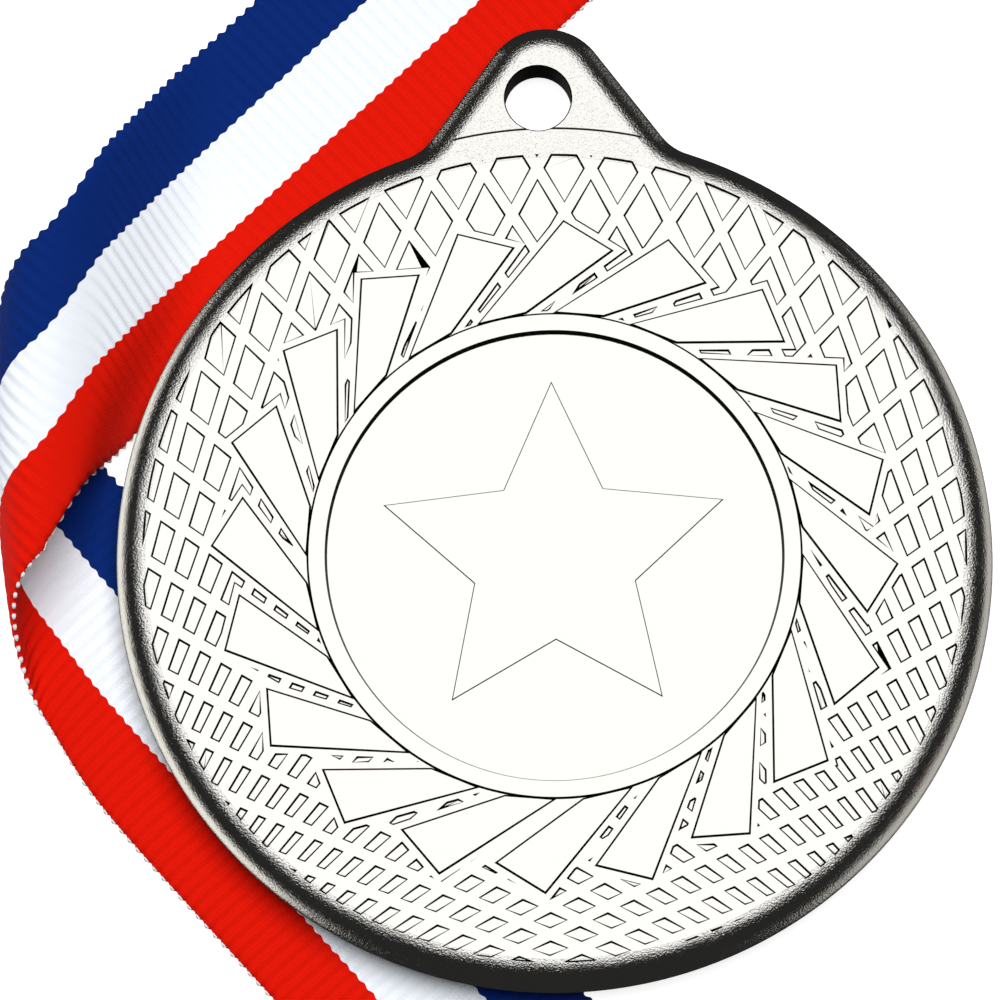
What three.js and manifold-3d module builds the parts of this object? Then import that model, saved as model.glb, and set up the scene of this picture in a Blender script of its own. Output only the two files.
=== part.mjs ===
// A 50 mm sports medal lying on its loose, folded neck ribbon.
// Millimetres, +Z up. The origin is the centre of the medal's back face; the tab points to +Y.
// The ribbon lies on the table, which is TABLE_Z.
import * as THREE from 'three';
import * as BufferGeometryUtils from 'three/addons/utils/BufferGeometryUtils.js';
import Module from 'manifold-3d';

const wasm = await Module();
wasm.setup();

// Medal body
const DISC_R = 25;
const MEDAL_T = 2.8;
const EDGE_R = 1.2;
const TAB_R = 3.6;
const TAB_Y = 27.9;
const TAB_HALF_ANGLE = THREE.MathUtils.degToRad(36.7);
const TAB_BLEND_R = 3;
const HOLE_R = 1.9;
const HOLE_X = -0.45;
const HOLE_Y = 26.8;
const FIELD_R = 23.5;
const FIELD_DEPTH = 0.35;
const BEZEL_OUT_R = 14.18;
const BEZEL_IN_R = 13.08;
const RECESS_DEPTH = 0.45;
const STAR_TIP_R = 10.3;
const STAR_IN_R = 4.88;
const STAR_RISE = 0.15;
const BLADES = 20;
const BLADE_ANGLE = THREE.MathUtils.degToRad(82.8);
const BLADE_CORNERS = [[19.67, 4.7], [13.7, 25.0], [13.7, 12.6], [18.13, -5.0]];
const BLADE_SINK = 0.05;

// Ribbon
const RIBBON_W = 13.6;
const RIBBON_T = 0.45;
const LAYER = 0.8;
const TABLE_Z = -RIBBON_T - 0.3;
const CURL_RX = 1.9;
const CURL_RZ = 3.02;
const CURL_DROP = 9.8;
const CURL_ALPHA = THREE.MathUtils.degToRad(45.83);
const CURL_TURN = THREE.MathUtils.degToRad(-3.1);
const CURL_X = -29.7;
const CURL_Y = 5.09;
const SWAY_A = 1.81;
const SWAY_B = -0.21;
const SWAY_LENGTH = 4.25;
const LEAN = 0.093;
const LEAN_GROWTH = 0.0064;
const LEAN_REACH = 4.8;
const EYE_R = 1.2;
const EYE_DROP = 5;
const WIDTH_STEPS = 4;

// Ring link and seam
const WIRE_R = 0.7;
const RING_HALF = 8.3;
const RING_LENGTH = 11;
const RING_TILT = THREE.MathUtils.degToRad(-3.5);
const THREAD_R = 0.18;

const SIN = Math.sin;
const COS = Math.cos;
const TAN = Math.tan;

function smooth(t) {
  const c = Math.min(Math.max(t, 0), 1);
  return c * c * (3 - 2 * c);
}

// ---------- solids ----------

function toManifold(geometry) {
  const g = geometry.clone();
  g.deleteAttribute('normal');
  g.deleteAttribute('uv');
  const merged = BufferGeometryUtils.mergeVertices(g, 1e-4);
  const mesh = new wasm.Mesh({
    numProp: 3,
    vertProperties: new Float32Array(merged.attributes.position.array),
    triVerts: new Uint32Array(merged.index.array),
  });
  return new wasm.Manifold(mesh);
}

function toGeometry(solid) {
  const mesh = solid.getMesh();
  const g = new THREE.BufferGeometry();
  g.setAttribute('position', new THREE.BufferAttribute(new Float32Array(mesh.vertProperties), 3));
  g.setIndex(new THREE.BufferAttribute(new Uint32Array(mesh.triVerts), 1));
  g.computeVertexNormals();
  return g;
}

function cylinder(radius, z0, z1, x = 0, y = 0, segments = 96) {
  const g = new THREE.CylinderGeometry(radius, radius, z1 - z0, segments);
  g.rotateX(Math.PI / 2);
  g.translate(x, y, (z0 + z1) / 2);
  return toManifold(g);
}

function prism(points, z0, z1) {
  const shape = new THREE.Shape(points.map((p) => new THREE.Vector2(p[0], p[1])));
  const g = new THREE.ExtrudeGeometry(shape, { depth: z1 - z0, bevelEnabled: false });
  g.translate(0, 0, z0);
  return toManifold(g);
}

function arc(cx, cy, r, from, to, count) {
  const points = [];
  for (let i = 0; i <= count; i += 1) {
    const a = from + (to - from) * i / count;
    points.push([cx + r * COS(a), cy + r * SIN(a)]);
  }
  return points;
}

// Outline of the disc with its tab, moved inwards by `inset`.
function outline(inset) {
  const n = [COS(TAB_HALF_ANGLE), SIN(TAB_HALF_ANGLE)];
  const side = [SIN(TAB_HALF_ANGLE), -COS(TAB_HALF_ANGLE)];
  const reach = TAB_R + TAB_BLEND_R;
  const base = [reach * n[0], TAB_Y + reach * n[1]];
  const b = base[0] * side[0] + base[1] * side[1];
  const c = base[0] ** 2 + base[1] ** 2 - (DISC_R + TAB_BLEND_R) ** 2;
  const t = -b - Math.sqrt(b * b - c);
  const f = [base[0] + t * side[0], base[1] + t * side[1]];
  const at = Math.atan2(f[1], f[0]);
  const blend = TAB_BLEND_R + inset;
  const away = TAB_HALF_ANGLE + Math.PI;
  return [
    ...arc(0, 0, DISC_R - inset, Math.PI - at, 2 * Math.PI + at, 110),
    ...arc(f[0], f[1], blend, at + Math.PI, away, 5).slice(1),
    ...arc(0, TAB_Y, TAB_R - inset, TAB_HALF_ANGLE, Math.PI - TAB_HALF_ANGLE, 18),
    ...arc(-f[0], f[1], blend, -TAB_HALF_ANGLE, -at, 5).slice(0, -1),
  ];
}

function medalBody() {
  const shape = new THREE.Shape(outline(EDGE_R).map((p) => new THREE.Vector2(p[0], p[1])));
  const blank = new THREE.ExtrudeGeometry(shape, {
    depth: MEDAL_T - 2 * EDGE_R,
    bevelEnabled: true,
    bevelThickness: EDGE_R,
    bevelSize: EDGE_R,
    bevelSegments: 4,
  });
  blank.translate(0, 0, EDGE_R);
  let body = toManifold(blank);
  body = body.subtract(cylinder(HOLE_R, -1, MEDAL_T + 1, HOLE_X, HOLE_Y, 40));
  body = body.subtract(cylinder(FIELD_R, MEDAL_T - FIELD_DEPTH, MEDAL_T + 1));
  const floor = MEDAL_T - FIELD_DEPTH - 0.1;
  for (let k = 0; k < BLADES; k += 1) {
    const mid = BLADE_ANGLE - k * 2 * Math.PI / BLADES;
    const corners = BLADE_CORNERS.map(([r, turn]) => {
      const a = mid + THREE.MathUtils.degToRad(turn);
      return [r * COS(a), r * SIN(a)];
    });
    body = body.add(prism(corners, floor, MEDAL_T - BLADE_SINK));
  }
  body = body.add(cylinder(BEZEL_OUT_R, floor, MEDAL_T));
  body = body.subtract(cylinder(BEZEL_IN_R, MEDAL_T - RECESS_DEPTH, MEDAL_T + 1));
  const star = [];
  for (let i = 0; i < 10; i += 1) {
    const r = i % 2 === 0 ? STAR_TIP_R : STAR_IN_R;
    const a = Math.PI / 2 + i * Math.PI / 5;
    star.push([r * COS(a), r * SIN(a)]);
  }
  const recess = MEDAL_T - RECESS_DEPTH;
  body = body.add(prism(star, recess - 0.1, recess + STAR_RISE));
  return toGeometry(body);
}

// ---------- ribbon ----------
// The strip is measured by s along it and w across it. s = 0 is the curl at the left.
// s < 0 is the upper strand (side A) and s > 0 the lower strand (side B).

// Half a turn of radius r, then an S-shaped drop to `rest` above the lower leg.
function oval(rx, rz) {
  const at = [0];
  const xs = [];
  const zs = [];
  const steps = 96;
  for (let i = 0; i <= steps; i += 1) {
    const t = Math.PI * (i / steps - 0.5);
    xs.push(-rx * COS(t));
    zs.push(rz - rz * SIN(t));
    if (i > 0) at.push(at[i - 1] + Math.hypot(xs[i] - xs[i - 1], zs[i] - zs[i - 1]));
  }
  const half = at[steps] / 2;
  return { half, top: 2 * rz, at: at.map((v) => v - half), xs, zs };
}

const CURL = oval(CURL_RX, CURL_RZ);
const EYE = oval(EYE_R, EYE_R);

// Half an oval turn, then an S-shaped drop to rest above the lower leg.
function curlSection(a, shape, rest, drop) {
  const { half, top, at, xs, zs } = shape;
  if (a > half) return [a - half, 0];
  if (a > -half) {
    let i = 1;
    while (at[i] < a) i += 1;
    const t = (a - at[i - 1]) / (at[i] - at[i - 1]);
    return [xs[i - 1] + (xs[i] - xs[i - 1]) * t, zs[i - 1] + (zs[i] - zs[i - 1]) * t];
  }
  let left = -a - half;
  const steps = 40;
  const dx = drop / steps;
  let x = 0;
  let z = top;
  for (let i = 1; i <= steps; i += 1) {
    const next = top + (rest - top) * smooth(i / steps);
    const length = Math.hypot(dx, next - z);
    if (left < length) return [x + dx * left / length, z + (next - z) * left / length];
    left -= length;
    x += dx;
    z = next;
  }
  return [x + left, rest];
}

const TURN_A = THREE.MathUtils.degToRad(-23.63);
const TURN_B = THREE.MathUtils.degToRad(20.54);
const FOLDS_A = [
  { at: 95.67, tilt: TURN_A, r: LAYER / 2 },
  { at: 228.96, tilt: 0, r: LAYER / 2 },
  { at: 352.21, tilt: 0, r: LAYER / 2 },
];
const FOLDS_B = [
  { at: 101.23, tilt: TURN_B, r: 2 * LAYER },
  { at: 249.65, tilt: 0, r: LAYER / 2 },
];
const EYE_AT = 348.03;
const TAIL = 17;
const END_A = 434.97;
const END_B = EYE_AT + TAIL;

// Folds the strip back over each crease in turn, the far one first. Every fold stacks upwards,
// and the strip is turned over by each, so its own side for the next fold changes each time.
function foldChain(folds, start) {
  let [p, w, z] = start;
  for (let i = folds.length - 1; i >= 0; i -= 1) {
    const { at, tilt, r } = folds[i];
    const side = i % 2 === 0 ? 1 : -1;
    const c = COS(tilt);
    const s = SIN(tilt);
    const d = (p - at) * c - w * s;
    if (d <= 0) continue;
    const half = Math.PI * r;
    let across = half - d;
    let height = 2 * r - side * z;
    if (d < half) {
      across = (r - side * z) * SIN(d / r);
      height = r - (r - side * z) * COS(d / r);
    }
    p += (across - d) * c;
    w -= (across - d) * s;
    z = side * height;
  }
  return [p, w, z];
}

function eye(p, w) {
  if (p <= EYE_AT) return [p, w, 0];
  const a = EYE.half - (p - EYE_AT);
  const [x, z] = curlSection(a, EYE, LAYER, EYE_DROP);
  return [EYE_AT - x, w, z];
}

function place(s, w) {
  const onA = s < 0;
  const near = onA ? [-s, w, 0] : eye(s, w);
  const [p, v, z] = foldChain(onA ? FOLDS_A : FOLDS_B, near);
  const along = onA ? -p : p;
  const a = along * COS(CURL_ALPHA) + v * SIN(CURL_ALPHA);
  const sway = (onA ? SWAY_A : SWAY_B) * smooth((Math.abs(a) - CURL.half) / SWAY_LENGTH);
  const y = -along * SIN(CURL_ALPHA) + v * COS(CURL_ALPHA) + sway;
  const [x, lift] = curlSection(a, CURL, 0, CURL_DROP);
  const py = CURL_Y + x * SIN(CURL_TURN) + y * COS(CURL_TURN);
  const below = CURL_Y - py;
  const lean = (LEAN * below + LEAN_GROWTH * below ** 2) * Math.exp(-((a / LEAN_REACH) ** 2));
  const px = CURL_X + x * COS(CURL_TURN) - y * SIN(CURL_TURN) + lean;
  let raised = lift;
  if (a < -CURL.half) raised *= smooth((Math.hypot(px, py) - DISC_R + 0.4) / 3);
  return new THREE.Vector3(px, py, TABLE_Z + RIBBON_T / 2 + raised + z);
}

function ribbonNormal(s, w) {
  const e = 0.01;
  const ds = place(s + e, w).sub(place(s - e, w));
  const dw = place(s, w + e).sub(place(s, w - e));
  return ds.cross(dw).normalize();
}

// Cross lines of the mesh as [s at the middle, lean], each lying along the bends near it.
function ribbonRows() {
  const rows = [];
  const zone = (from, to, lean, count) => {
    for (let i = 0; i <= count; i += 1) rows.push([from + (to - from) * i / count, lean]);
  };
  for (const { at, tilt, r } of [...FOLDS_A].reverse()) {
    const far = -at - Math.PI * r / COS(tilt);
    zone(far, -at, -TAN(tilt), 8);
  }
  const c = COS(CURL_ALPHA);
  const quarter = CURL.half;
  zone(-(quarter + CURL_DROP + 1) / c, -quarter / c, -TAN(CURL_ALPHA), 26);
  zone((-quarter + 0.35) / c, quarter / c, -TAN(CURL_ALPHA), 12);
  zone((quarter + 0.6) / c, (quarter + SWAY_LENGTH + 1) / c, -TAN(CURL_ALPHA), 8);
  for (const { at, tilt, r } of FOLDS_B) {
    zone(at, at + Math.PI * r / COS(tilt), TAN(tilt), 8);
  }
  zone(EYE_AT, EYE_AT + Math.PI * EYE_R + EYE_DROP + 1, 0, 20);
  rows.push([END_B, 0]);
  rows.unshift([-END_A, 0]);
  return rows;
}

function ribbon() {
  const rows = ribbonRows();
  const g = new THREE.BoxGeometry(1, 1, 1, rows.length - 1, WIDTH_STEPS, 1);
  const at = g.attributes.position;
  for (let i = 0; i < at.count; i += 1) {
    const [mid, lean] = rows[Math.round((at.getX(i) + 0.5) * (rows.length - 1))];
    const w = at.getY(i) * RIBBON_W;
    const s = mid + lean * w;
    const point = place(s, w);
    point.addScaledVector(ribbonNormal(s, w), at.getZ(i) * RIBBON_T);
    at.setXYZ(i, point.x, point.y, point.z);
  }
  g.deleteAttribute('normal');
  g.deleteAttribute('uv');
  const merged = BufferGeometryUtils.mergeVertices(g, 1e-4);
  merged.computeVertexNormals();
  return merged;
}

// ---------- ring link and seam ----------

function tube(curve, radius, steps, sides) {
  const shape = new THREE.Shape();
  shape.absarc(0, 0, radius, 0, Math.PI * 2, false);
  const g = new THREE.ExtrudeGeometry(shape, {
    steps,
    curveSegments: sides,
    bevelEnabled: false,
    extrudePath: curve,
  });
  g.deleteAttribute('normal');
  g.deleteAttribute('uv');
  const merged = BufferGeometryUtils.mergeVertices(g, 1e-4);
  merged.computeVertexNormals();
  return merged;
}

const EYE_CENTRE = place(EYE_AT, 0).add(new THREE.Vector3(0, 0, EYE_R));

// Triangular wire ring: the straight side runs through the ribbon's eye.
function ringLink() {
  const corner = 1.6;
  const tip = 1.7;
  const points = [];
  const lean = Math.atan2(RING_HALF, RING_LENGTH);
  const push = (x, y) => points.push(new THREE.Vector3(x, y, 0));
  push(0.2, 0);
  push(RING_HALF - corner - 1.5, 0);
  for (let i = 0; i <= 6; i += 1) {
    const a = Math.PI / 2 - i / 6 * (Math.PI - lean - Math.PI / 2 + Math.PI / 2 - lean);
    push(RING_HALF - corner + corner * COS(a), -corner + corner * SIN(a));
  }
  for (let i = 0; i <= 6; i += 1) {
    const a = -lean + (i / 6) * (-Math.PI + 2 * lean);
    push(tip * COS(a), -RING_LENGTH + tip + tip * SIN(a));
  }
  const right = points.slice(0, 9);
  for (let i = right.length - 1; i >= 0; i -= 1) push(-right[i].x, right[i].y);
  const curve = new THREE.CatmullRomCurve3(points, false, 'centripetal');
  const g = tube(curve, WIRE_R, 110, 8);
  g.rotateX(-RING_TILT);
  g.translate(EYE_CENTRE.x, EYE_CENTRE.y, EYE_CENTRE.z);
  return g;
}

function seamThread() {
  const points = [];
  const count = 12;
  const top = RIBBON_T / 2 + 0.25 + THREAD_R;
  for (let i = 0; i <= count; i += 1) {
    const w = (i / count - 0.5) * (RIBBON_W - 2.4);
    const s = END_B - 5 + (i % 2 === 0 ? -1.2 : 1.2);
    points.push(place(s, w).add(new THREE.Vector3(0, 0, top)));
  }
  return tube(new THREE.CatmullRomCurve3(points, false, 'centripetal'), THREAD_R, 72, 6);
}

// ---------- assembly ----------

const group = new THREE.Group();

function addPart(name, geometry, color, metalness, roughness) {
  const material = new THREE.MeshStandardMaterial({ color, metalness, roughness });
  const mesh = new THREE.Mesh(geometry, material);
  mesh.name = name;
  group.add(mesh);
}

addPart('ribbon', ribbon(), 0x1c3f94, 0, 0.8);
addPart('seam_thread', seamThread(), 0xf2f2ee, 0, 0.7);
addPart('medal_body', medalBody(), 0xd8d6cc, 1, 0.15);
addPart('ring_link', ringLink(), 0xc8c8c8, 1, 0.2);

export default group;
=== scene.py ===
"""A polished 50 mm medal lying on its loose, folded three-stripe ribbon. Metres, +Z up."""

import math

import bpy
import bmesh
import numpy as np
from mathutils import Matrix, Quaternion, Vector


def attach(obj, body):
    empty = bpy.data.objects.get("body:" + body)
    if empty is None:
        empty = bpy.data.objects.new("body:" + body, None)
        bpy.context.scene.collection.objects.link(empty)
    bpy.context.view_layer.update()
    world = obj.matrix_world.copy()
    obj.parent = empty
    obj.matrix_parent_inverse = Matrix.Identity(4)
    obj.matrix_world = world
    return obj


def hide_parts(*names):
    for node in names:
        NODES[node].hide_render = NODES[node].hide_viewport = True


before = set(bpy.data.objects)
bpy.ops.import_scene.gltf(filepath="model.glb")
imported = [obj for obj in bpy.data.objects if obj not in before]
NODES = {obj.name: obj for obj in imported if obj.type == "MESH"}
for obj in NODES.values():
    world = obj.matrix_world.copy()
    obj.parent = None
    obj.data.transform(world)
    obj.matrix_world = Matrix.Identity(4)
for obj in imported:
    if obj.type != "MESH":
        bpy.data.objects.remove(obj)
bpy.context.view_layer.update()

MM = 0.001

# ---------- dimensions, millimetres ----------

DISC_R = 25.0
MEDAL_T = 2.8
EDGE_R = 1.65
TAB_R = 3.6
TAB_Y = 27.6
TAB_HALF_ANGLE = math.radians(36.7)
TAB_BLEND_R = 3.0
HOLE_R = 1.9
HOLE_X, HOLE_Y = -0.45, 26.8

FIELD_R = 23.5
POCKET_DEPTH = 0.14
POCKET_SLOPE = 0.11
BEZEL_OUT_R = 14.18
BEZEL_IN_R = 13.08
RECESS_DEPTH = 0.45
RECESS_FOOT = 0.12
RECESS_LEAN = 0.35
STAR_TIP_R, STAR_IN_R = 10.3, 4.88
STAR_H, STAR_LEAN = 0.08, 0.09
STEP = 0.12
TAB_LINE = 0.06
HOLE_EDGE_DEPTH, HOLE_EDGE_LEAN = 0.08, 0.18

# How far an added part reaches into the body, and a cutting tool past it.
BITE = 0.05
OVERCUT = 1.0
ABOVE = MEDAL_T + OVERCUT

BLADES = 20
BLADE_ANGLE = math.radians(82.8)
# Each corner: distance from the centre, and degrees from the blade's middle.
BLADE_CORNERS = ((19.67, 4.7), (14.1, 25.0), (14.1, 12.6), (18.13, -5.0))
BLADE_BORDER = 0.3

# The lattice is two mirrored fans of straight bars, each spreading from one point.
FAN_X, FAN_Y = 33.8, -37.6
FAN_BARS = range(-22, 12)
FAN_STEP = math.radians(2.235)
FAN_RIGHT = math.radians(58.9)
FAN_LEFT = math.radians(60.3)
BAR_W = 0.6
CELL_R_MIN, CELL_R_MAX = 12.0, 26.5

RIBBON_W = 13.6
RIBBON_T = 0.45
WEAVE_T = 0.33
LAYER = 0.8
TABLE_Z = -RIBBON_T - 0.3
CURL_RX, CURL_RZ = 1.9, 3.02
CURL_DROP = 9.8
CURL_ALPHA = math.radians(45.83)
CURL_TURN = math.radians(-3.1)
CURL_X, CURL_Y = -29.7, 5.09
SWAY_A, SWAY_B, SWAY_LENGTH = 1.81, -0.21, 4.25
LEAN, LEAN_GROWTH, LEAN_REACH = 0.093, 0.0064, 4.8
EYE_R = 1.2
EYE_DROP = 5.0
# Each fold: place along the ribbon, slant of the crease, radius of the bend.
FOLDS_A = (
    (95.67, math.radians(-23.63), LAYER / 2),
    (228.96, 0.0, LAYER / 2),
    (352.21, 0.0, LAYER / 2),
)
FOLDS_B = ((101.23, math.radians(20.54), 2 * LAYER), (249.65, 0.0, LAYER / 2))
EYE_AT = 348.03
END_A = 434.97
END_B = EYE_AT + 17.0
RIB = 0.74
RIB_H = 0.055
COLUMNS = 22
# The ribs are modelled between these places and painted as bumps elsewhere.
FINE_FROM, FINE_TO = -78.0, 78.0


# ---------- camera ----------

VIEW_W = 57.0
CAM_DISTANCE = 600.0
CAM_ELEVATION = math.radians(78.2)
CAM_ROLL = math.radians(1.03)
CAM_TARGET = (-3.05, 3.25, MEDAL_T)


def make_camera():
    data = bpy.data.cameras.new("photo_camera")
    cam = bpy.data.objects.new("photo_camera", data)
    bpy.context.scene.collection.objects.link(cam)
    back = Vector((0, -math.cos(CAM_ELEVATION), math.sin(CAM_ELEVATION)))
    cam.location = (Vector(CAM_TARGET) + back * CAM_DISTANCE) * MM
    cam.rotation_mode = "QUATERNION"
    turn = (-back).to_track_quat("-Z", "Y")
    roll = Quaternion((0, 0, 1), -CAM_ROLL)
    cam.rotation_quaternion = turn @ roll
    data.sensor_width = 36.0
    data.lens = data.sensor_width * CAM_DISTANCE / VIEW_W
    data.clip_start, data.clip_end = 0.01, 20.0
    data.dof.use_dof = False
    bpy.context.scene.camera = cam


make_camera()


# ---------- small helpers ----------


def smooth(t):
    """Rises from 0 to 1 as t does, level at both ends."""
    c = np.clip(t, 0.0, 1.0)
    return c * c * (3 - 2 * c)


def link(name, mesh):
    """A new object on mesh, in the scene."""
    obj = bpy.data.objects.new(name, mesh)
    bpy.context.scene.collection.objects.link(obj)
    return obj


def solid_from(name, rings, capped=True):
    """Joins rings of points, all of one length, into a closed body with flat end caps."""
    count = len(rings[0])
    verts = [p for ring in rings for p in ring]
    faces = []
    for k in range(len(rings) - 1):
        a, b = k * count, (k + 1) * count
        for i in range(count):
            j = (i + 1) % count
            faces.append((a + i, a + j, b + j, b + i))
    if capped:
        faces.append(tuple(range(count - 1, -1, -1)))
        last = (len(rings) - 1) * count
        faces.append(tuple(range(last, last + count)))
    mesh = bpy.data.meshes.new(name)
    mesh.from_pydata(verts, [], faces)
    mesh.update()
    return mesh


def grown(poly, border):
    """A counter-clockwise polygon with every side moved outwards by border."""
    pts = [Vector(p) for p in poly]
    out = []
    n = len(pts)
    for i in range(n):
        p, q, r = pts[i - 1], pts[i], pts[(i + 1) % n]
        e0, e1 = (q - p).normalized(), (r - q).normalized()
        n0, n1 = Vector((e0.y, -e0.x)), Vector((e1.y, -e1.x))
        corner = n0 + n1
        out.append(tuple(q + corner * (border / max(0.3, corner.dot(n0)))))
    return out


def prisms(name, polygons, z0, z1, taper=0.0):
    """Prisms on counter-clockwise polygons, all in one mesh, each narrowed by taper at its top."""
    verts, faces = [], []
    for poly in polygons:
        base = len(verts)
        n = len(poly)
        verts += [(x, y, z0) for x, y in poly]
        verts += [(x, y, z1) for x, y in (grown(poly, -taper) if taper else poly)]
        faces.append(tuple(range(base + n - 1, base - 1, -1)))
        faces.append(tuple(range(base + n, base + 2 * n)))
        for i in range(n):
            j = (i + 1) % n
            faces.append((base + i, base + j, base + n + j, base + n + i))
    mesh = bpy.data.meshes.new(name)
    mesh.from_pydata(verts, [], faces)
    mesh.update()
    return mesh


def circle(r, n, cx=0.0, cy=0.0):
    """n points round a circle, counter-clockwise."""
    return [
        (cx + r * math.cos(2 * math.pi * i / n), cy + r * math.sin(2 * math.pi * i / n))
        for i in range(n)
    ]


def boolean(mesh, tool, how):
    """mesh with tool cut out, joined on or kept in common, as a new mesh."""
    a = link("bool_a", mesh)
    b = link("bool_b", tool)
    mod = a.modifiers.new("cut", "BOOLEAN")
    mod.operation = how
    mod.object = b
    mod.solver = "MANIFOLD"
    dg = bpy.context.evaluated_depsgraph_get()
    made = bpy.data.meshes.new_from_object(a.evaluated_get(dg))
    bpy.data.objects.remove(a)
    bpy.data.objects.remove(b)
    return made


# ---------- medal ----------


def arc(cx, cy, r, start, end, count):
    """Points along an arc in count equal steps, both ends included."""
    return [
        (
            cx + r * math.cos(start + (end - start) * i / count),
            cy + r * math.sin(start + (end - start) * i / count),
        )
        for i in range(count + 1)
    ]


def outline(inset):
    """The disc with its tab, counter-clockwise, moved inwards by inset."""
    nx, ny = math.cos(TAB_HALF_ANGLE), math.sin(TAB_HALF_ANGLE)
    sx, sy = math.sin(TAB_HALF_ANGLE), -math.cos(TAB_HALF_ANGLE)
    reach = TAB_R + TAB_BLEND_R
    bx, by = reach * nx, TAB_Y + reach * ny
    b = bx * sx + by * sy
    c = bx * bx + by * by - (DISC_R + TAB_BLEND_R) ** 2
    t = -b - math.sqrt(b * b - c)
    fx, fy = bx + t * sx, by + t * sy
    at = math.atan2(fy, fx)
    blend = TAB_BLEND_R + inset
    points = arc(0, 0, DISC_R - inset, math.pi - at, 2 * math.pi + at, 360)
    points += arc(fx, fy, blend, at + math.pi, TAB_HALF_ANGLE + math.pi, 14)[1:]
    points += arc(
        0, TAB_Y, TAB_R - inset, TAB_HALF_ANGLE, math.pi - TAB_HALF_ANGLE, 48
    )
    points += arc(-fx, fy, blend, -TAB_HALF_ANGLE, -at, 14)[:-1]
    return points


def blade(k):
    """Corners of blade k, counter-clockwise."""
    mid = BLADE_ANGLE - k * 2 * math.pi / BLADES
    angles = [(r, mid + math.radians(turn)) for r, turn in BLADE_CORNERS]
    return [(r * math.cos(a), r * math.sin(a)) for r, a in angles]


def fan_lines(cx, cy, start, sign):
    """Edges of the bars of one fan: for each gap, the two lines that bound it."""
    gaps = []
    for k in FAN_BARS:
        pair = []
        for a, shift in (
            (start + k * FAN_STEP, BAR_W / 2),
            (start + (k + 1) * FAN_STEP, -BAR_W / 2),
        ):
            dx, dy = math.cos(a), math.sin(a)
            px, py = cx - dy * shift, cy + dx * shift
            if sign < 0:
                px, dx = -px, -dx
            pair.append((px, py, dx, dy))
        gaps.append(pair)
    return gaps


def crossing(first, second):
    """The point where two lines cross, each given as a point and a direction."""
    px, py, dx, dy = first
    qx, qy, ex, ey = second
    det = dx * ey - dy * ex
    t = ((qx - px) * ey - (qy - py) * ex) / det
    return (px + t * dx, py + t * dy)


def lattice_cells():
    """The four-sided gaps between the bars of both fans, counter-clockwise."""
    cells = []
    right = fan_lines(-FAN_X, FAN_Y, FAN_RIGHT, 1)
    left = fan_lines(-FAN_X, FAN_Y, FAN_LEFT, -1)
    for low, high in right:
        for near, far in left:
            quad = [
                crossing(low, near),
                crossing(low, far),
                crossing(high, far),
                crossing(high, near),
            ]
            cx = sum(p[0] for p in quad) / 4
            cy = sum(p[1] for p in quad) / 4
            r = math.hypot(cx, cy)
            if not CELL_R_MIN < r < CELL_R_MAX:
                continue
            area = sum(
                quad[i][0] * quad[(i + 1) % 4][1] - quad[(i + 1) % 4][0] * quad[i][1]
                for i in range(4)
            )
            if area < 0:
                quad.reverse()
            cells.append(quad)
    return cells


def ring_mesh(name, r0, r1, z0, z1, n):
    """A closed flat ring between two radii and two heights."""
    inner, outer = circle(r0, n), circle(r1, n)
    rings = [
        [(x, y, z0) for x, y in inner],
        [(x, y, z0) for x, y in outer],
        [(x, y, z1) for x, y in outer],
        [(x, y, z1) for x, y in inner],
        [(x, y, z0) for x, y in inner],
    ]
    mesh = solid_from(name, rings, capped=False)
    bm = bmesh.new()
    bm.from_mesh(mesh)
    bmesh.ops.remove_doubles(bm, verts=bm.verts, dist=1e-6)
    bmesh.ops.recalc_face_normals(bm, faces=bm.faces)
    bm.to_mesh(mesh)
    bm.free()
    return mesh


def slope_pockets(mesh, floor):
    """Draws the foot of every pocket wall inwards, so that the walls slope."""
    bm = bmesh.new()
    bm.from_mesh(mesh)
    bmesh.ops.remove_doubles(bm, verts=bm.verts, dist=0.003)
    bmesh.ops.dissolve_limit(
        bm, angle_limit=math.radians(1), verts=bm.verts, edges=bm.edges
    )
    moves = []
    for v in bm.verts:
        if abs(v.co.z - floor) > 0.001:
            continue
        walls = []
        for f in v.link_faces:
            if abs(f.normal.z) > 0.3:
                continue
            flat = Vector((f.normal.x, f.normal.y)).normalized()
            if all(flat.dot(other) < 0.999 for other in walls):
                walls.append(flat)
        if not walls:
            continue
        push = sum(walls, Vector((0, 0)))
        scale = POCKET_SLOPE / max(0.8, push.dot(walls[0]))
        moves.append((v, push * scale))
    for v, push in moves:
        v.co.x += push.x
        v.co.y += push.y
    bm.to_mesh(mesh)
    bm.free()


def medal_blank():
    """The disc and tab, with a rim that is half an oval in section."""
    rings = []
    steps = 24
    for i in range(steps + 1):
        t = math.pi * i / steps
        inset = EDGE_R * (1 - math.sin(t))
        z = MEDAL_T / 2 * (1 - math.cos(t))
        rings.append([(x, y, z) for x, y in outline(inset)])
    return solid_from("medal_blank", rings)


def cut_lattice(body):
    """Cuts the cells of the field, clear of the bezel and of a border round each blade."""
    floor = MEDAL_T - POCKET_DEPTH
    z0, z1 = floor - OVERCUT, ABOVE + OVERCUT
    pockets = prisms("pockets", lattice_cells(), floor, ABOVE)
    field = ring_mesh("field", BEZEL_OUT_R + BITE, FIELD_R, z0, z1, 256)
    pockets = boolean(pockets, field, "INTERSECT")
    for k in range(BLADES):
        room = grown(blade(k), BLADE_BORDER)
        pockets = boolean(pockets, prisms("blade_room", [room], z0, z1), "DIFFERENCE")
    body = boolean(body, pockets, "DIFFERENCE")
    slope_pockets(body, floor)
    return body


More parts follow.
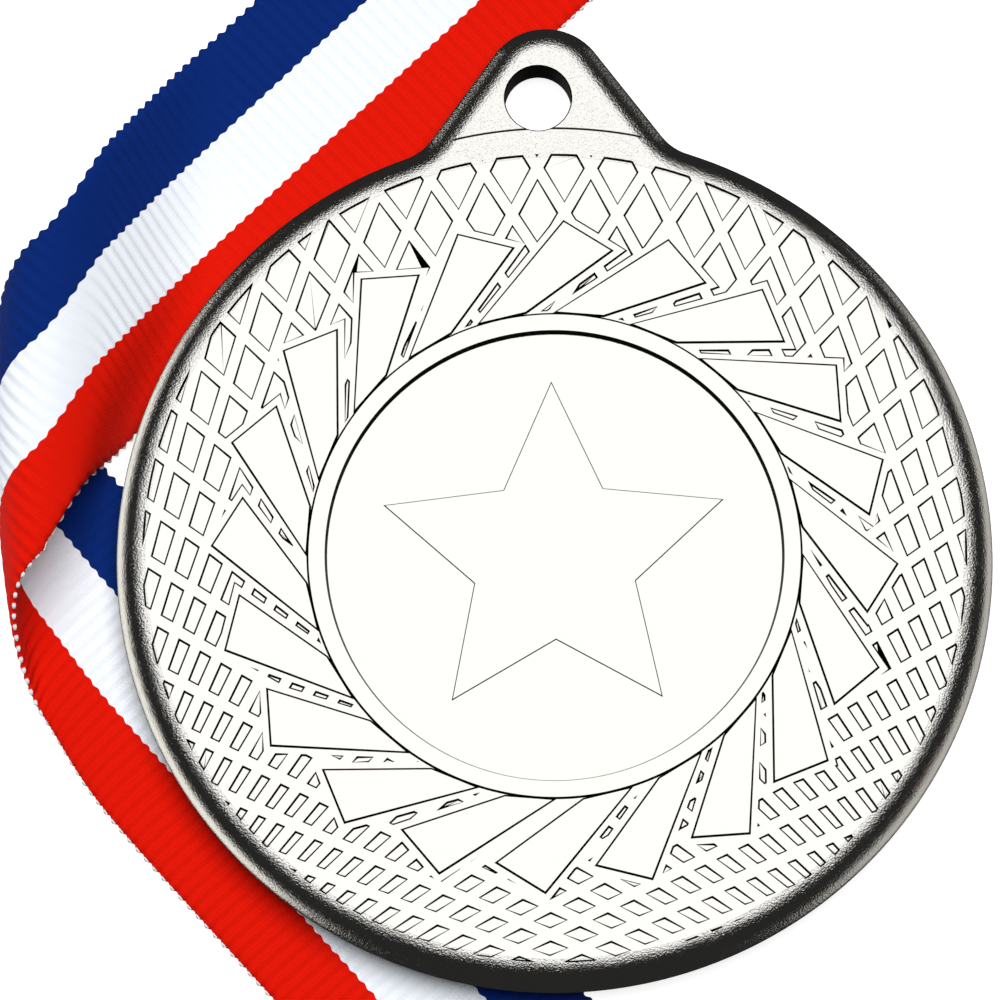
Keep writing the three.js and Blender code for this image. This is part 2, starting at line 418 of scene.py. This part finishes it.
def add_raised(body):
    """Adds the blades and then the bezel, with sides at 45 degrees."""
    raised = [blade(k) for k in range(BLADES)]
    raised.append(circle(BEZEL_OUT_R, 256))
    for shape in raised:
        tool = prisms("raised", [shape], MEDAL_T - BITE, MEDAL_T + STEP, STEP + BITE)
        body = boolean(body, tool, "UNION")
    return body


def star_corners():
    """Corners of the five-pointed star, counter-clockwise from its top."""
    corners = []
    for i in range(10):
        r = STAR_TIP_R if i % 2 == 0 else STAR_IN_R
        a = math.pi / 2 + i * math.pi / 5
        corners.append((r * math.cos(a), r * math.sin(a)))
    return corners


def cut_recess(body):
    """Sinks the middle of the face and raises the star on its floor."""
    floor = MEDAL_T - RECESS_DEPTH
    foot = [circle(BEZEL_IN_R - RECESS_FOOT, 256)]
    body = boolean(body, prisms("recess", foot, floor, ABOVE, -RECESS_LEAN), "DIFFERENCE")
    star = prisms("star", [star_corners()], floor - BITE, floor + STAR_H, STAR_LEAN)
    return boolean(body, star, "UNION")


def cut_tab(body):
    """Cuts the thin line between disc and tab, and the hole with its sloping edge."""
    inner, outer = DISC_R - TAB_LINE, DISC_R + TAB_LINE
    line = ring_mesh("tab_line", inner, outer, MEDAL_T - TAB_LINE, ABOVE, 512)
    body = boolean(body, line, "DIFFERENCE")
    hole = prisms("hole", [circle(HOLE_R, 96, HOLE_X, HOLE_Y)], -OVERCUT, ABOVE)
    body = boolean(body, hole, "DIFFERENCE")
    foot = [circle(HOLE_R - 0.01, 96, HOLE_X, HOLE_Y)]
    z0, z1 = MEDAL_T - HOLE_EDGE_DEPTH, MEDAL_T + 0.1
    return boolean(body, prisms("hole_edge", foot, z0, z1, -HOLE_EDGE_LEAN), "DIFFERENCE")


def medal_mesh():
    """The whole casting, in millimetres."""
    return cut_tab(cut_recess(add_raised(cut_lattice(medal_blank()))))


def paint_slope_shade(mesh):
    """Gives the walls of the relief and the hole, and the tab line, a near-black copy of the
    metal: painted shade for the dark reflections these walls catch.
    """
    for face in mesh.polygons:
        c = face.center / MM
        r = math.hypot(c.x, c.y)
        in_hole = math.hypot(c.x - HOLE_X, c.y - HOLE_Y) < HOLE_R + 0.3
        shallow_counts = r < FIELD_R + 0.2 or in_hole
        steep = abs(face.normal.z) < (0.95 if shallow_counts else 0.3)
        relief = in_hole or (r < DISC_R + 0.2 and c.z > MEDAL_T - 0.6)
        groove = abs(r - DISC_R) < 0.07 and MEDAL_T - 0.1 < c.z < MEDAL_T - 0.03
        face.material_index = 1 if (steep and relief) or groove else 0


def finish_medal(mesh):
    """Cleans the cut mesh and gives it crisp edges."""
    obj = link("medal", mesh)
    bm = bmesh.new()
    bm.from_mesh(mesh)
    bmesh.ops.remove_doubles(bm, verts=bm.verts, dist=0.002)
    bm.normal_update()
    for f in bm.faces:
        f.smooth = True
    for e in bm.edges:
        e.smooth = e.is_manifold and e.calc_face_angle(0) < math.radians(22)
    bm.to_mesh(mesh)
    bm.free()
    weigh = obj.modifiers.new("normals", "WEIGHTED_NORMAL")
    weigh.mode = "FACE_AREA"
    weigh.keep_sharp = True
    dg = bpy.context.evaluated_depsgraph_get()
    done = bpy.data.meshes.new_from_object(obj.evaluated_get(dg))
    bpy.data.objects.remove(obj)
    return done


# ---------- ribbon ----------


def oval(rx, rz):
    """Half an oval as a table: length along it from the middle, x, z."""
    t = np.linspace(-math.pi / 2, math.pi / 2, 97)
    xs, zs = -rx * np.cos(t), rz - rz * np.sin(t)
    at = np.concatenate(([0], np.cumsum(np.hypot(np.diff(xs), np.diff(zs)))))
    return at - at[-1] / 2, xs, zs


CURL = oval(CURL_RX, CURL_RZ)
EYE = oval(EYE_R, EYE_R)
CURL_HALF = CURL[0][-1]
EYE_HALF = EYE[0][-1]


def curl_section(a, shape, rest, drop):
    """Half an oval turn, then an S-shaped drop to rest above the lower leg."""
    at, oval_x, oval_z = shape
    half, top = at[-1], oval_z[0]
    steps = 80
    xs = np.linspace(0, drop, steps + 1)
    zs = top + (rest - top) * smooth(xs / drop)
    length = np.concatenate(([0], np.cumsum(np.hypot(np.diff(xs), np.diff(zs)))))
    left = np.maximum(-a - half, 0)
    x_far = np.where(
        left < length[-1], np.interp(left, length, xs), drop + left - length[-1]
    )
    z_far = np.interp(left, length, zs)
    x = np.where(a > half, a - half, np.where(a > -half, np.interp(a, at, oval_x), x_far))
    z = np.where(a > half, 0.0, np.where(a > -half, np.interp(a, at, oval_z), z_far))
    return x, z


def fold_chain(folds, p, w, z):
    """Bends a flat strip over at each fold in turn, the last fold first."""
    for i in range(len(folds) - 1, -1, -1):
        at, tilt, r = folds[i]
        side = 1 if i % 2 == 0 else -1
        c, s = math.cos(tilt), math.sin(tilt)
        d = (p - at) * c - w * s
        half = math.pi * r
        bend = d < half
        across = np.where(bend, (r - side * z) * np.sin(d / r), half - d)
        height = np.where(
            bend, r - (r - side * z) * np.cos(d / r), 2 * r - side * z
        )
        moved = d > 0
        p = np.where(moved, p + (across - d) * c, p)
        w = np.where(moved, w - (across - d) * s, w)
        z = np.where(moved, side * height, z)
    return p, w, z


def place(s, w):
    """Middle surface of the ribbon: s along it, w across it, both in millimetres."""
    s, w = np.broadcast_arrays(np.asarray(s, float), np.asarray(w, float))
    pa, wa, za = fold_chain(FOLDS_A, -s, w, np.zeros_like(s))
    ex, ez = curl_section(EYE_HALF - (s - EYE_AT), EYE, LAYER, EYE_DROP)
    near = s <= EYE_AT
    pb, wb, zb = fold_chain(
        FOLDS_B, np.where(near, s, EYE_AT - ex), w, np.where(near, 0.0, ez)
    )
    on_a = s < 0
    along = np.where(on_a, -pa, pb)
    v = np.where(on_a, wa, wb)
    z = np.where(on_a, za, zb)
    a = along * math.cos(CURL_ALPHA) + v * math.sin(CURL_ALPHA)
    sway = np.where(on_a, SWAY_A, SWAY_B)
    sway = sway * smooth((np.abs(a) - CURL_HALF) / SWAY_LENGTH)
    y = -along * math.sin(CURL_ALPHA) + v * math.cos(CURL_ALPHA) + sway
    x, lift = curl_section(a, CURL, 0.0, CURL_DROP)
    py = CURL_Y + x * math.sin(CURL_TURN) + y * math.cos(CURL_TURN)
    below = CURL_Y - py
    lean = (LEAN * below + LEAN_GROWTH * below**2) * np.exp(-((a / LEAN_REACH) ** 2))
    px = CURL_X + x * math.cos(CURL_TURN) - y * math.sin(CURL_TURN) + lean
    tuck = smooth((np.hypot(px, py) - DISC_R + 0.4) / 3)
    lift = np.where(a < -CURL_HALF, lift * tuck, lift)
    return np.stack((px, py, TABLE_Z + RIBBON_T / 2 + lift + z), axis=-1)


def ribbon_normal(s, w):
    """Unit normals of the middle surface, from points a little way to each side."""
    e = 0.02
    ds = place(s + e, w) - place(s - e, w)
    dw = place(s, w + e) - place(s, w - e)
    n = np.cross(ds, dw)
    return n / np.linalg.norm(n, axis=-1, keepdims=True)


def ribbon_stations():
    """Places along the ribbon for rows of points: close where its ribs are modelled."""
    fine = np.arange(FINE_FROM, FINE_TO, RIB / 6)
    coarse = list(np.arange(-END_A, FINE_FROM, 0.8))
    coarse += list(np.arange(FINE_TO + 0.4, END_B, 0.8))
    spots = [-f[0] for f in FOLDS_A] + [f[0] for f in FOLDS_B] + [EYE_AT]
    for spot in spots:
        turn = 1 if spot > 0 else -1
        coarse += list(np.arange(spot - 4 * turn, spot + 9 * turn, 0.2 * turn))
    coarse = [s for s in coarse if not FINE_FROM - 0.3 < s < FINE_TO + 0.3]
    stations = np.unique(np.round(np.concatenate((fine, coarse, [END_B])), 3))
    keep = np.concatenate(([True], np.diff(stations) > 0.05))
    return stations[keep]


def quads(a, b, c, d, flip):
    """Four-sided faces on four arrays of point numbers, turned over where flip is set."""
    return np.stack((a, d, c, b) if flip else (a, b, c, d), axis=-1).reshape(-1, 4)


def shell_faces(rows, cols):
    """Faces of a closed sheet: its two sides, its two long edges and its two ends."""
    top = np.arange(rows * cols).reshape(rows, cols)
    low = top + rows * cols
    faces = [
        quads(side[:-1, :-1], side[1:, :-1], side[1:, 1:], side[:-1, 1:], flip)
        for side, flip in ((top, False), (low, True))
    ]
    for col, flip in ((0, True), (cols - 1, False)):
        faces.append(quads(top[:-1, col], top[1:, col], low[1:, col], low[:-1, col], flip))
    for row, flip in ((0, False), (rows - 1, True)):
        faces.append(quads(top[row, :-1], top[row, 1:], low[row, 1:], low[row, :-1], flip))
    return np.concatenate(faces)


def store_weave(mesh, along, across, coarse):
    """Stores places on the ribbon as a map, and where its ribs are only painted."""
    uv = mesh.uv_layers.new(name="Weave")
    u, v = np.tile(along.reshape(-1), 2), np.tile(across.reshape(-1), 2)
    index = np.empty(len(mesh.loops), np.int32)
    mesh.loops.foreach_get("vertex_index", index)
    uv.data.foreach_set("uv", np.stack((u[index], v[index]), -1).reshape(-1))
    share = np.tile(np.repeat(coarse, along.shape[1]), 2)
    mesh.attributes.new("coarse", "FLOAT", "POINT").data.foreach_set("value", share)


def ribbon_mesh():
    """The ribbon as a closed sheet with ribbed sides and thin woven edges, in metres."""
    s = ribbon_stations()
    q = np.sin(np.linspace(-1, 1, COLUMNS + 1) * math.pi / 2)
    q = 0.75 * np.linspace(-1, 1, COLUMNS + 1) + 0.25 * q
    fine = smooth((s - FINE_FROM) / 3) * smooth((FINE_TO - s) / 3)
    wave = np.cos(2 * math.pi * s / RIB) * fine
    half_width = RIBBON_W / 2 - 0.1 + 0.1 * wave
    along = np.repeat(s[:, None], COLUMNS + 1, axis=1)
    across = half_width[:, None] * q[None, :]
    edge = np.clip((1 - np.abs(q)) / 0.04, 0, 1) ** 0.5
    thick = (WEAVE_T / 2 + RIB_H * wave)[:, None] * (0.35 + 0.65 * edge[None, :])
    mid = place(along, across)
    off = ribbon_normal(along, across) * thick[..., None]
    verts = np.concatenate(((mid + off).reshape(-1, 3), (mid - off).reshape(-1, 3)))
    mesh = bpy.data.meshes.new("ribbon_weave")
    faces = shell_faces(len(s), COLUMNS + 1)
    mesh.from_pydata((verts * MM).tolist(), [], faces.tolist())
    store_weave(mesh, along, across, 1 - fine)
    mesh.update()
    mesh.shade_smooth()
    return mesh


# ---------- materials ----------


class Nodes:
    """A new material with a Principled shader and short ways to add nodes."""

    def __init__(self, name):
        self.mat = bpy.data.materials.new(name)
        self.mat.use_nodes = True
        self.tree = self.mat.node_tree
        self.shader = self.tree.nodes["Principled BSDF"]

    def add(self, kind, **settings):
        node = self.tree.nodes.new(kind)
        for key, value in settings.items():
            setattr(node, key, value)
        return node

    def join(self, out, to):
        self.tree.links.new(out, to)

    def math(self, how, a, b=None, c=None):
        node = self.add("ShaderNodeMath", operation=how)
        for i, v in enumerate((a, b, c)):
            if v is None:
                continue
            if isinstance(v, (int, float)):
                node.inputs[i].default_value = v
            else:
                self.join(v, node.inputs[i])
        return node.outputs[0]

    def bump(self, height, strength, distance, normal=None):
        node = self.add("ShaderNodeBump")
        node.inputs["Strength"].default_value = strength
        node.inputs["Distance"].default_value = distance
        self.join(height, node.inputs["Height"])
        if normal is not None:
            self.join(normal, node.inputs["Normal"])
        return node.outputs["Normal"]


def metal_material(name, colour, roughness, grain):
    """Polished metal with a fine grain, coarser beyond the medal's field."""
    n = Nodes(name)
    n.shader.inputs["Base Color"].default_value = (*colour, 1)
    n.shader.inputs["Metallic"].default_value = 1.0
    n.shader.inputs["Roughness"].default_value = roughness
    coord = n.add("ShaderNodeTexCoord").outputs["Object"]
    fine = n.add("ShaderNodeTexNoise")
    fine.inputs["Scale"].default_value = 9000.0
    fine.inputs["Detail"].default_value = 3
    n.join(coord, fine.inputs["Vector"])
    split = n.add("ShaderNodeSeparateXYZ")
    n.join(coord, split.inputs[0])
    x, y = split.outputs[0], split.outputs[1]
    radius = n.math("SQRT", n.math("ADD", n.math("MULTIPLY", x, x), n.math("MULTIPLY", y, y)))
    rim = n.math("GREATER_THAN", radius, (FIELD_R - 0.2) * MM)
    height = n.math("MULTIPLY", fine.outputs[0], n.math("MULTIPLY_ADD", rim, 0.8, 0.2))
    n.join(n.bump(height, 1.0, grain), n.shader.inputs["Normal"])
    return n.mat


def ribbon_material():
    """Three woven stripes with cross ribs, fine threads and white loops on the red edge."""
    n = Nodes("woven_ribbon")
    uv = n.add("ShaderNodeUVMap", uv_map="Weave").outputs["UV"]
    split = n.add("ShaderNodeSeparateXYZ")
    n.join(uv, split.inputs[0])
    s, w = split.outputs[0], split.outputs[1]
    wobble = n.math("MULTIPLY", n.math("COSINE", n.math("MULTIPLY", s, 2 * math.pi / RIB)), 0.06)
    place_w = n.math("ADD", w, wobble)
    half_stripe = RIBBON_W / 6
    is_blue = n.math("GREATER_THAN", place_w, half_stripe)
    is_red = n.math("LESS_THAN", place_w, -half_stripe)
    colour = n.add("ShaderNodeMix", data_type="RGBA")
    colour.inputs["A"].default_value = (0.82, 0.86, 0.92, 1)
    colour.inputs["B"].default_value = (0.003, 0.02, 0.15, 1)
    n.join(is_blue, colour.inputs["Factor"])
    red = n.add("ShaderNodeMix", data_type="RGBA")
    red.inputs["B"].default_value = (0.66, 0.008, 0.002, 1)
    n.join(is_red, red.inputs["Factor"])
    n.join(colour.outputs["Result"], red.inputs["A"])
    # White weft loops show along the red edge.
    edge = n.math("GREATER_THAN", n.math("ABSOLUTE", w), RIBBON_W / 2 - 0.16)
    loops = n.math(
        "GREATER_THAN", n.math("COSINE", n.math("MULTIPLY", s, 2 * math.pi / RIB)), 0.0
    )
    dots = n.add("ShaderNodeMix", data_type="RGBA")
    dots.inputs["B"].default_value = (0.85, 0.85, 0.88, 1)
    n.join(n.math("MULTIPLY", n.math("MULTIPLY", edge, loops), is_red), dots.inputs["Factor"])
    n.join(red.outputs["Result"], dots.inputs["A"])
    n.join(dots.outputs["Result"], n.shader.inputs["Base Color"])
    n.shader.inputs["Roughness"].default_value = 0.8
    n.shader.inputs["Specular IOR Level"].default_value = 0.08
    threads = n.math("SINE", n.math("MULTIPLY", w, 2 * math.pi / 0.15))
    cross = n.math("SINE", n.math("MULTIPLY", s, 2 * math.pi / (RIB / 3)))
    height = n.math("MULTIPLY", threads, n.math("MULTIPLY_ADD", cross, 0.35, 0.65))
    normal = n.bump(height, 0.6, 0.00002)
    coarse = n.add("ShaderNodeAttribute", attribute_name="coarse").outputs["Fac"]
    ribs = n.math(
        "MULTIPLY", n.math("COSINE", n.math("MULTIPLY", s, 2 * math.pi / RIB)), coarse
    )
    normal = n.bump(ribs, 1.0, 0.00005, normal)
    n.join(normal, n.shader.inputs["Normal"])
    return n.mat


def plain_material(name, colour, roughness):
    """One even colour."""
    n = Nodes(name)
    n.shader.inputs["Base Color"].default_value = (*colour, 1)
    n.shader.inputs["Roughness"].default_value = roughness
    return n.mat


# ---------- pieces ----------

nickel = metal_material("polished_nickel", (0.92, 0.905, 0.865), 0.12, 0.00003)
# A near-black copy of the nickel: painted shade for the steep walls of the relief, the hole and
# the tab line.
painted_shade_nickel = metal_material("painted_shade_nickel", (0.035, 0.035, 0.03), 0.45, 0.00001)

medal_data = finish_medal(medal_mesh())
for v in medal_data.vertices:
    v.co *= MM
medal_data.name = "medal_relief"
medal = link("medal_relief", medal_data)
medal_data.materials.clear()
medal_data.materials.append(nickel)
medal_data.materials.append(painted_shade_nickel)
# Painted shade: the relief walls, the hole wall and the tab line take the near-black copy of the
# metal.
paint_slope_shade(medal_data)
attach(medal, "medal")
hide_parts("medal_body")

ribbon = link("ribbon_weave", ribbon_mesh())
ribbon.data.materials.append(ribbon_material())
ribbon.visible_glossy = False
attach(ribbon, "base")
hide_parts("ribbon")

thread = NODES["seam_thread"]
thread.data.materials.clear()
thread.data.materials.append(plain_material("white_thread", (0.86, 0.86, 0.84), 0.6))

ring = NODES["ring_link"]
ring.data.materials.clear()
ring.data.materials.append(metal_material("nickel_wire", (0.85, 0.85, 0.83), 0.16, 0.00001))


# ---------- studio ----------


def make_floor():
    """A pale floor under the ribbon, hidden from reflections."""
    mesh = bpy.data.meshes.new("floor")
    r = 3.0
    z = TABLE_Z * MM - 0.0001
    mesh.from_pydata([(-r, -r, z), (r, -r, z), (r, r, z), (-r, r, z)], [], [(0, 1, 2, 3)])
    floor = link("floor", mesh)
    n = Nodes("pale_floor")
    n.shader.inputs["Base Color"].default_value = (0.5, 0.5, 0.5, 1)
    n.shader.inputs["Roughness"].default_value = 1.0
    n.shader.inputs["Specular IOR Level"].default_value = 0.0
    n.shader.inputs["Emission Color"].default_value = (1, 1, 1, 1)
    n.shader.inputs["Emission Strength"].default_value = 0.8
    mesh.materials.append(n.mat)
    floor.visible_glossy = False


def make_card(name, x, brightness):
    """A card beside the medal, seen only as a reflection in its rim."""
    mesh = bpy.data.meshes.new(name)
    corners = [(x, -0.4, -0.6), (x, 0.4, -0.6), (x, 0.4, 0.0), (x, -0.4, 0.0)]
    mesh.from_pydata(corners, [], [(0, 1, 2, 3)])
    card = link(name, mesh)
    n = Nodes(name)
    n.shader.inputs["Base Color"].default_value = (0, 0, 0, 1)
    n.shader.inputs["Emission Color"].default_value = (1.0, 0.98, 0.92, 1)
    n.shader.inputs["Emission Strength"].default_value = brightness
    mesh.materials.append(n.mat)
    card.visible_camera = False
    card.visible_diffuse = False


def softbox(name, location, size, strength):
    """A round soft light aimed at the origin."""
    data = bpy.data.lights.new(name, "AREA")
    data.shape = "DISK"
    data.size = size
    data.energy = strength
    light = bpy.data.objects.new(name, data)
    bpy.context.scene.collection.objects.link(light)
    light.location = location
    light.rotation_mode = "QUATERNION"
    light.rotation_quaternion = (
        (-Vector(location)).to_track_quat("-Z", "Y")
    )
    return light


make_floor()
make_card("left_card", -0.4, 0.9)
make_card("right_card", 0.4, 0.45)
softbox("overhead", (0.0, 0.26, 0.8), 0.78, 1.65)
key = softbox("key", (0.0, 0.16, 0.8), 0.85, 8.5)
key.visible_glossy = False

world = bpy.data.worlds.new("studio")
bpy.context.scene.world = world
world.use_nodes = True
background = world.node_tree.nodes["Background"]
background.inputs["Color"].default_value = (1, 1, 1, 1)
background.inputs["Strength"].default_value = 0.02
bpy.context.scene.view_settings.view_transform = "Standard"
